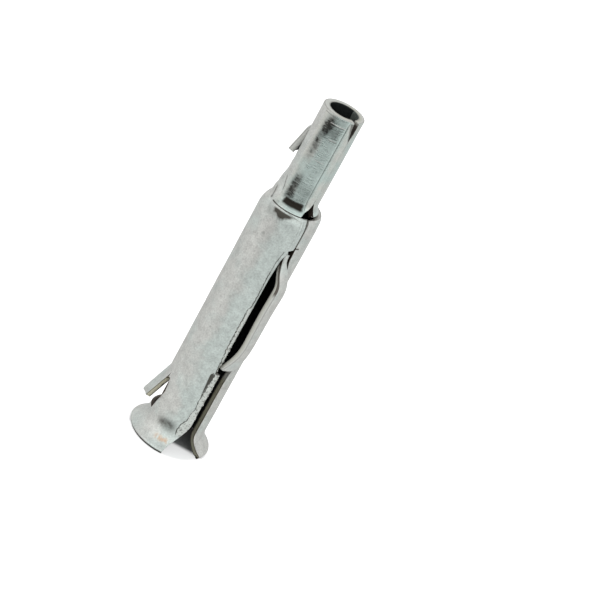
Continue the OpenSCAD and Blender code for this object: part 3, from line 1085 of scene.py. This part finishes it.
grime = times(tree, streak(tree, places["Around"], -14, 5, 10), from_height(tree, places, 8, 16), 0.07)
marks = most(tree, grime, hair_lines, creases, times(tree, pits, 0.22), rim_line)
print("barrel marks:", len(tree.nodes), "nodes")

# %% [markdown]
# Last come the colours, from the lowest layer up: the clouds, an orange tint low on the front of the flare,
# the pale strip, and the dark marks and the painted shade over all. The drawn neck is a little smoother than
# the barrel.

# %% Barrel zinc
ORANGE_TINT, PALE_STRIP = (0.56, 0.37, 0.24, 1), (0.75, 0.75, 0.7, 1)
orange_tint = times(tree, patch(tree, places, (-6, 12), (1.8, 0.3), 6, 0.35),
              fade(tree, grain(tree, places["Position"], 1.4, (1.6, 1.6, 0.6)), 0.32, 0.6), 0.75)
colour = blend_colour(tree, orange_tint, look["Color"], ORANGE_TINT)
colour = blend_colour(tree, times(tree, strip, 0.35), colour, PALE_STRIP)
# One dark colour serves the torn line and the small marks, and also the painted shade of the dent, the notch,
# the lip and the flare.
colour = blend_colour(tree, most(tree, tears, barrel_painted_shade, marks), colour, DARK_MARK_AND_SHADE)
rough = minus(tree, 0.42, times(tree, from_height(tree, places, 44, 47), 0.12))
rough = plus(tree, rough, times(tree, look["Roughness"], 0.2))
height = minus(tree, look["Height"], times(tree, tear_line, 4))
finish_zinc(tree, shader, colour, rough, height)
print("barrel zinc:", len(tree.nodes), "nodes")

# %% [markdown]
# The nose was drawn down to size through a ring, which polished it and left fine ridges across it. The
# pressed panel is bluish, and the wing is as warm as the neck where the two meet.

# %% Nose clouds
POLISHED_COOL, POLISHED_WARM = (0.50, 0.59, 0.56, 1), (0.58, 0.59, 0.55, 1)
NOSE_CONTRAST = 0.24


def towards_front(tree, places):
    beside_neck = times(tree, from_direction(tree, places, -28, -45), 0.25)
    return plus(tree, minus(tree, 0.55, streak(tree, places["Around"], 10, 18, 14)), beside_neck)


nose_zinc, tree, shader, places, look = zinc_base("nose_zinc", POLISHED_COOL, POLISHED_WARM, towards_front,
                                                  NOSE_CONTRAST)
ridges = grain(tree, places["Position"], 1.0, (0.9, 0.9, 5.5), 3)
panel = streak(tree, places["Around"], 5, 27, 4)
print("nose clouds:", len(tree.nodes), "nodes")

# %% [markdown]
# Dark reflections are painted as streaks left of the middle: one under the tip, one in the middle and
# one at the foot, with thin washes around them. Noise moves their edges and breaks them into flecks, and the
# ridges show through. A square band of painted shade, the foot, ends them where the wing's lip begins.

# %% Painted reflections on the nose
shade_noise = times(tree, swing(tree, grain(tree, places["Position"], 1.1, detail=3)), 8)
blown = plus(tree, places["Around"], shade_noise)
uneven = plus(tree, places["Height"], times(tree, shade_noise, 0.05))
taper = plus(tree, minus(tree, places["Around"], times(tree, minus(tree, places["Height"], 58), 2.2)), shade_noise)
wavering = plus(tree, places["Around"], times(tree, shade_noise, 0.5))
# Painted dark reflections: the upper, middle and lower streaks and the washes around them.
upper = times(tree, streak(tree, taper, -18, 12, 12), streak(tree, uneven, 57.9, 1.2, 1.4), 1.7)
middle = times(tree, streak(tree, blown, -27, 8, 8), streak(tree, uneven, 55.2, 2.2, 2.4), 0.95)
lower = times(tree, streak(tree, wavering, -23, 11.5, 7.5), streak(tree, uneven, 47.2, 2.1, 1.3), 1.1)
REFLECTION_WASHES = (((0, 17), (57.5, 1.0), 6, 0.7, 0.5), ((3, 27), (47.4, 1.1), 6, 1.2, 0.38),
          ((-34, 3), (51, 7.5), 8, 1.5, 0.24))  # a patch's values, and how dark the wash is
reflection_washes = [times(tree, patch(tree, places, *values), darkness) for *values, darkness in REFLECTION_WASHES]
ridged = plus(tree, times(tree, ridges, 0.8), 0.5)
painted_reflections = times(tree, most(tree, upper, middle, lower, *reflection_washes), ridged)
flecks = swing(tree, grain(tree, places["Position"], 1.7, (1, 1, 2.2), 4))
broken = plus(tree, times(tree, flecks, 1.5), 0.92)
painted_reflections = at_most(tree, times(tree, at_most(tree, painted_reflections, 1.0), broken), 0.95)
# The foot is painted shade where the wing's lip begins.
foot_height = plus(tree, places["Height"], times(tree, shade_noise, 0.025))
foot = times(tree, streak(tree, blown, -1.5, 27.5, 5), streak(tree, foot_height, 45.12, 0.55, 0.22))
print("nose shading:", len(tree.nodes), "nodes")

# %% [markdown]
# The fine lines of the nose are the crease beside the land, the dark scores, which the shells carry, each
# with a painted highlight at its lower side, and painted shade in the slit: a wedge that opens towards the
# tip, and its end.

# %% Lines on the nose
crease = times(tree, fade(tree, calc(tree, "ABSOLUTE", attribute(tree, "past_tear")), 0.11, 0.03),
               from_height(tree, places, 44.5, 45.2), from_height(tree, places, 59.6, 59.0), 0.6)
WEDGE_LEAN = 5.1  # degrees for each millimetre down from the tip
leaning = plus(tree, places["Around"], times(tree, minus(tree, places["Height"], LENGTH), WEDGE_LEAN))
wedge = times(tree, fade(tree, leaning, 29.5, 32.5), from_height(tree, places, 56.9, 57.3),
              from_height(tree, places, 59.9, 59.7), from_direction(tree, places, 51, 49), 0.62)
slit_end = times(tree, patch(tree, places, (49.3, 0.8), (46.4, 0.4), 1.2, 0.3), 0.9)
lip_line = times(tree, patch(tree, places, (-28, 22), (59.65, 0.03), 4, 0.06), 0.6)
scores = times(tree, attribute(tree, "dent"), 0.75)
lines = most(tree, scores, crease, lip_line, wedge, slit_end)
# Painted highlights, each just below a score.
GLINTS = (((5, 22), 58.7), ((9, 10), 56.32), ((4, 15), 52.6))
glints = [patch(tree, places, around, (height, 0.03), 3, 0.07) for around, height in GLINTS]
glints = times(tree, most(tree, glints[0], glints[1], times(tree, glints[2], 0.6)), 0.8)
print("nose lines:", len(tree.nodes), "nodes")

# %% [markdown]
# The nose's layers join in the same order as the barrel's, with the glints, which are painted highlights, on
# top. The ridges are raised only on the pressed panel, and the tube's inner face is painted lighter near the
# tip, where light falls in.

# %% Nose zinc
GLINT = (0.9, 0.9, 0.86, 1)
# One dark colour serves the painted reflections, the painted shade and the nose's dark lines.
colour = blend_colour(tree, most(tree, painted_reflections, foot, lines), look["Color"], MARK_SHADE_AND_REFLECTION)
colour = blend_colour(tree, glints, colour, GLINT)
rough = plus(tree, 0.27, times(tree, look["Roughness"], 0.2))
height = plus(tree, look["Height"], times(tree, ridges, panel, 5))
inner_shading = blend_colour(tree, from_height(tree, places, 50, 56), SHADED_INSIDE, NOSE_INSIDE)
finish_zinc(tree, shader, colour, rough, height, inner_shading)
print("nose zinc:", len(tree.nodes), "nodes")

# %% [markdown]
# The finger and the barbs are cut from the same sheet but were never rubbed by the ring, so they only have
# the plain clouds. They could share the barrel's finish; their own keeps the barrel's marks off them.

# %% Tongue zinc
TONGUE_CONTRAST = 0.3


def even(tree, places):
    return plus(tree, 0.5, times(tree, fade(tree, places["Reach"], -2, 2), 0.3))


tongue_zinc, tree, shader, places, look = zinc_base("tongue_zinc", COOL, WARM, even, TONGUE_CONTRAST)
rough = plus(tree, 0.4, times(tree, look["Roughness"], 0.2))
finish_zinc(tree, shader, look["Color"], rough, look["Height"])
print("tongue zinc:", len(tree.nodes), "nodes")

# %% [markdown]
# A sheared edge has two zones: a smooth burnished one where the punch slid, and a rough broken one that the
# plating hardly covers. Both lie along the edge, so they follow the depth through the sheet, with painted
# shade in dark lines where the rolled corners start.

# %% Sheared edge
PLATED_CUT, BROKEN_CUT, BROWN = (0.57, 0.58, 0.55, 1), (0.44, 0.43, 0.33, 1), (0.05, 0.035, 0.025, 1)
BARB_CUT, WINDOW_CUT = (0.60, 0.58, 0.45, 1), (0.57, 0.60, 0.56, 1)
sheared_edge, tree, shader = new_material("sheared_edge", 0.7)
places = use(tree, plug_places)
depth = attribute(tree, "sheet_depth")
at_left = from_direction(tree, places, -10, -40)
below_slot = from_height(tree, places, 15, 14)
scratch = grain(tree, places["Position"], 3.0, (1, 1, 0.5), 3)
broken = fade(tree, plus(tree, depth, times(tree, swing(tree, scratch), 0.4)), 0.3, 0.55)
olive = blend_colour(tree, at_left, BROKEN_CUT, BARB_CUT)
olive = blend_colour(tree, times(tree, from_height(tree, places, 10.0, 10.2), at_left), olive, WINDOW_CUT)
face = blend_colour(tree, most(tree, times(tree, broken, 0.3), below_slot), PLATED_CUT, olive)
# Painted shade: dark lines where the rolled corners turn, stronger below the slot.
corner_shade = times(tree, most(tree, fade(tree, depth, 0.3, 0.1), fade(tree, depth, 0.7, 0.9)),
               plus(tree, times(tree, below_slot, 0.45), 0.35))
print("sheared edge:", len(tree.nodes), "nodes")

# %% [markdown]
# Where an opening is narrow, its walls get no light and look brown: the tear at the finger's root, the
# closed seam, the barb's window, the notch at the shoulder and the edge at the barb's root.

# %% Dark openings
root_tear = times(tree, streak(tree, places["Height"], 34.4, 3.0, 0.5),
                  most(tree, fade(tree, depth, 0.6, 0.5), from_height(tree, places, 35.6, 36.6)),
                  from_direction(tree, places, 20, 30), 0.85)
seam_walls = most(tree, streak(tree, places["Height"], 37.6, 1.7, 0.15),
                  streak(tree, places["Height"], 45.8, 1.5, 0.15),
                  times(tree, streak(tree, places["Height"], 58.1, 1.5, 0.3), 0.9))
seam_walls = times(tree, seam_walls, from_direction(tree, places, 20, 30))
window = times(tree, fade(tree, places["Radius"], 4.85, 4.75), streak(tree, places["Height"], 5.9, 2.5, 0.3),
               from_direction(tree, places, -30, -40))
notch_wall = times(tree, from_height(tree, places, SLIT_Z - 0.06, SLIT_Z),
                   from_direction(tree, places, 36, 42), from_height(tree, places, 47, 46))
notch_floor = times(tree, patch(tree, places, (53, 20), (43.9, 0.3), 2, 0.08), fade(tree, depth, 0.35, 0.5))
barb_root = times(tree, streak(tree, places["Height"], 9.85, 0.12, 0.1), at_left)
openings = times(tree, most(tree, seam_walls, window, notch_wall, notch_floor, barb_root), 0.97)
dark = most(tree, corner_shade, from_height(tree, places, 0.5, 0.3), root_tear, openings)
fill(tree, shader.inputs, {"Base Color": blend_colour(tree, dark, face, BROWN),
                           "Roughness": plus(tree, 0.42, times(tree, broken, 0.2))})
add_relief(tree, shader, times(tree, scratch, broken), 0.6, 0.03)
for piece, zinc in ((sleeve, barrel_zinc), (front_wing, nose_zinc), (rear_wing, nose_zinc),
                    (nose_barb, tongue_zinc), (barrel_barb, tongue_zinc), (finger, tongue_zinc)):
    piece.data.materials.append(zinc)
    piece.data.materials.append(sheared_edge)
print("dark openings:", len(tree.nodes), "nodes")

# %% [markdown]
# Where the punch tore the sheet it left burrs: tiny flakes along the tear, along the edge of the slot and
# down the strip below it. Rows of them follow paths, so one Geometry Nodes tree lays them: it spaces points
# along a path, keeps a random share and sets a flattened grain of steel on each, always from the same seed.

# %% Burr flakes tree
FULL_TURN = 6.28
burr_row = bpy.data.node_groups.new("burr_row", "GeometryNodeTree")
burr_row.interface.new_socket("Geometry", in_out="INPUT", socket_type="NodeSocketGeometry")
for socket, kind in (("Spacing", "Float"), ("Smallest", "Float"), ("Largest", "Float"), ("Share", "Float"),
                     ("Seed", "Int"), ("Material", "Material")):
    burr_row.interface.new_socket(socket, in_out="INPUT", socket_type="NodeSocket" + kind)
burr_row.interface.new_socket("Geometry", in_out="OUTPUT", socket_type="NodeSocketGeometry")
tree, nodes = burr_row, burr_row.nodes
given = nodes.new("NodeGroupInput").outputs
as_curve = nodes.new("GeometryNodeMeshToCurve")
spaced = nodes.new("GeometryNodeResampleCurve")
spaced.mode = "LENGTH"
flake = nodes.new("GeometryNodeMeshIcoSphere")
flake.inputs["Radius"].default_value = 1.0
flake.inputs["Subdivisions"].default_value = 2
kept = nodes.new("FunctionNodeRandomValue")
kept.data_type = "BOOLEAN"
turns, sizes = nodes.new("FunctionNodeRandomValue"), nodes.new("FunctionNodeRandomValue")
turns.data_type = sizes.data_type = "FLOAT_VECTOR"
turns.inputs["Min"].default_value, turns.inputs["Max"].default_value = (0, 0, 0), (FULL_TURN,) * 3
rowed = nodes.new("GeometryNodeInstanceOnPoints")
solid = nodes.new("GeometryNodeRealizeInstances")
finished = nodes.new("GeometryNodeSetMaterial")
out = nodes.new("NodeGroupOutput").inputs
for source, target in (
    (given["Geometry"], as_curve.inputs["Mesh"]), (as_curve.outputs["Curve"], spaced.inputs["Curve"]),
    (given["Spacing"], spaced.inputs["Length"]), (spaced.outputs["Curve"], rowed.inputs["Points"]),
    (given["Share"], kept.inputs["Probability"]), (given["Seed"], kept.inputs["Seed"]),
    (given["Seed"], turns.inputs["Seed"]), (given["Seed"], sizes.inputs["Seed"]),
    (given["Smallest"], sizes.inputs["Min"]), (given["Largest"], sizes.inputs["Max"]),
    (flake.outputs["Mesh"], rowed.inputs["Instance"]), (kept.outputs[3], rowed.inputs["Selection"]),
    (turns.outputs[0], rowed.inputs["Rotation"]), (sizes.outputs[0], rowed.inputs["Scale"]),
    (rowed.outputs["Instances"], solid.inputs["Geometry"]),
    (solid.outputs["Geometry"], finished.inputs["Geometry"]),
    (given["Material"], finished.inputs["Material"]), (finished.outputs["Geometry"], out["Geometry"]),
):
    tree.links.new(source, target)
print("burr tree:", len(nodes), "nodes")

# %% [markdown]
# Burrs are bright where they broke and dark where oil stuck, so one noise picks between the two. Each row
# gets its own path on the sheet's outer face, and its own seed, size and share of flakes.

# %% Burrs
BURR_DARK, BURR_BRIGHT = (0.12, 0.12, 0.10, 1), (0.86, 0.86, 0.82, 1)
PATH_STEP = 0.22
burr_steel, tree, shader = new_material("burr_steel", 0.8)
places = use(tree, plug_places)
bright = fade(tree, grain(tree, places["Position"], 2.2), 0.42, 0.56)
fill(tree, shader.inputs, {"Base Color": blend_colour(tree, bright, BURR_DARK, BURR_BRIGHT),
                           "Roughness": 0.45})
rng = random.Random(44)


def surface_path(low, high, reach, scatter):
    """Points up the outer face, at a reach from the seam that depends on the height."""
    points = []
    for z in steps(low, high, step=PATH_STEP):
        r = outer(z)[0]
        points.append(place(r, turned(reach(z) + rng.uniform(-scatter, scatter), r), z) * MM)
    return points


def burrs_along(name, points, spacing, smallest, largest, share, seed):
    """Lays a row of burrs along a path, as a plain mesh; the sizes are in millimetres."""
    mesh = bpy.data.meshes.new(name)
    mesh.from_pydata(points, [(i, i + 1) for i in range(len(points) - 1)], [])
    row = bpy.data.objects.new(name, mesh)
    bpy.context.scene.collection.objects.link(row)
    modifier = row.modifiers.new("burrs", "NODES")
    modifier.node_group = burr_row
    wanted = {"Spacing": spacing * MM, "Smallest": smallest * MM, "Largest": largest * MM, "Share": share,
              "Seed": seed, "Material": burr_steel}
    for item in burr_row.interface.items_tree:
        if item.in_out == "INPUT" and item.name in wanted:
            modifier[item.identifier] = wanted[item.name]
    bpy.context.view_layer.update()
    plain_mesh = bpy.data.meshes.new_from_object(row.evaluated_get(bpy.context.evaluated_depsgraph_get()))
    row.modifiers.remove(modifier)
    row.data = plain_mesh
    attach(row, "sleeve")
    print(name, len(plain_mesh.polygons), "faces")


tear_path = surface_path(6.4, 27.3, lambda z: along(TEAR, z) + 0.05, 0.07)
burrs_along("tear_burrs", tear_path, 0.2, 0.03, 0.1, 0.62, 3)
slot_path = surface_path(15.6, 28.5, lambda z: slot_left(z) - 0.08, 0.05)
burrs_along("slot_edge_burrs", slot_path, 0.24, 0.03, 0.08, 0.45, 5)
strip_path = surface_path(5.2, 14.9, lambda z: left_edge(z) - 0.12, 0.1)
burrs_along("strip_burrs", strip_path, 0.22, 0.03, 0.1, 0.5, 8)

# %% [markdown]
# The plug stands on its mouth in the shared frame, while it is seen lying slantwise: turning the camera about
# its own axis gives the slant and leaves the part standing. A long lens from about 30 cm keeps the two ends
# nearly equal in size.

# %% Camera
CAMERA_ELEVATION, ROLL, DISTANCE, LENS = 26.0, 28.65, 303.0, 125.4
MIDDLE_Z, AIM_RIGHT, AIM_DOWN = 30.3, 6.23, 2.70
tilt, roll = math.radians(CAMERA_ELEVATION), math.radians(ROLL)
toward = Vector((0, -math.cos(tilt), math.sin(tilt)))
middle = Vector((0, 0, MIDDLE_Z))
level_right, level_up = Vector((1, 0, 0)), Vector((0, math.sin(tilt), math.cos(tilt)))
right = level_right * math.cos(roll) + level_up * math.sin(roll)
above = level_up * math.cos(roll) - level_right * math.sin(roll)
stand = middle + toward * DISTANCE
view = (middle + right * AIM_RIGHT - above * AIM_DOWN - stand).normalized()
side = view.cross(above).normalized()
camera = bpy.data.objects.new("camera", bpy.data.cameras.new("camera"))
bpy.context.scene.collection.objects.link(camera)
turned_to_view = Matrix((side, side.cross(view), -view)).transposed().to_4x4()
camera.matrix_world = Matrix.Translation(stand * MM) @ turned_to_view
camera.data.lens = LENS
camera.data.sensor_width = 36
camera.data.clip_start = 0.01
camera.data.clip_end = 20
bpy.context.scene.camera = camera
print("camera at", [round(v) for v in stand], "mm")

# %% [markdown]
# Zinc shows what stands around it, so the light is a white tent: a sky that is brighter at the camera's side,
# down to the horizon. Lamps would leave hot spots that the object doesn't have. The camera itself sees the
# sky as plain white, which the Standard view transform keeps.

# %% Sky
SKY, SKY_FRONT = 0.93, 0.4
WHITE = (1, 1, 1, 1)
bpy.context.scene.view_settings.view_transform = "Standard"
world = bpy.data.worlds.new("studio")
bpy.context.scene.world = world
world.use_nodes = True
tree = world.node_tree
seen = tree.nodes.new("ShaderNodeLightPath").outputs["Is Camera Ray"]
x, y, z = parts(tree, tree.nodes.new("ShaderNodeTexCoord").outputs["Generated"])
lamp_side = times(tree, fade(tree, times(tree, y, -1), 0.1, 0.6), fade(tree, z, 0.95, 0.6))
strength = tree.nodes.new("ShaderNodeMix")
tent = plus(tree, SKY, times(tree, lamp_side, SKY_FRONT))
fill(tree, strength.inputs, {"Factor": seen, "A": tent, "B": 1.0})
fill(tree, tree.nodes["Background"].inputs, {"Strength": strength.outputs["Result"], "Color": WHITE})
print("sky ready")

# %% [markdown]
# The floor glows white for the camera alone, yet the metal sees a grey card in it: paler in front, darker
# behind, and dark far in front, which gives the barrel its soft darker side. Under the plug the floor is
# painted dark as a shadow, and under the back of the plug the glow stops, so the ground seen through the
# mouth's gap shows that painted shadow, darkened further by real shade. All of it depends on the distance and
# the direction from the plug's foot, in metres.

# %% Floor
FLOOR_HALF = 2
CARD_FRONT, CARD_BACK = (0.9, 0.9, 0.9, 1), (0.76, 0.76, 0.76, 1)
PAINTED_SHADOW_UNDER, CARD_FAR = (0.35, 0.37, 0.37, 1), (0.12, 0.12, 0.12, 1)
GLOW, GLOW_FAR = 0.6, 0.5
floor_mesh = bpy.data.meshes.new("floor")
corners = [(x * FLOOR_HALF, y * FLOOR_HALF, 0) for x, y in ((-1, -1), (1, -1), (1, 1), (-1, 1))]
floor_mesh.from_pydata(corners, [], [(0, 1, 2, 3)])
floor = bpy.data.objects.new("floor", floor_mesh)
bpy.context.scene.collection.objects.link(floor)
pale, tree, shader = new_material("pale_floor", 0.0)
seen = tree.nodes.new("ShaderNodeLightPath").outputs["Is Camera Ray"]
where = tree.nodes.new("ShaderNodeTexCoord").outputs["Object"]
x, y, z = parts(tree, where)
length = tree.nodes.new("ShaderNodeVectorMath")
length.operation = "LENGTH"
feed(tree, length.inputs[0], where)
away = length.outputs["Value"]
ahead = calc(tree, "DIVIDE", times(tree, y, -1), away)
far_front = times(tree, fade(tree, ahead, 0.5, 0.85), fade(tree, away, 0.14, 0.17))
clear_of_plug = most(tree, fade(tree, away, 0.0055, 0.0072), fade(tree, y, -0.0012, -0.0024))
glow = plus(tree, times(tree, far_front, GLOW_FAR), GLOW)
card = blend_colour(tree, fade(tree, ahead, 0.3, -0.6), CARD_FRONT, CARD_BACK)
# Under the plug the floor's colour is painted dark: a painted shadow.
card = blend_colour(tree, fade(tree, away, 0.0068, 0.0058), card, PAINTED_SHADOW_UNDER)
fill(tree, shader.inputs, {"Base Color": blend_colour(tree, far_front, card, CARD_FAR), "Roughness": 0.9,
                           "Emission Color": WHITE,
                           "Emission Strength": times(tree, seen, clear_of_plug, glow)})
floor.data.materials.append(pale)
print("floor ready")
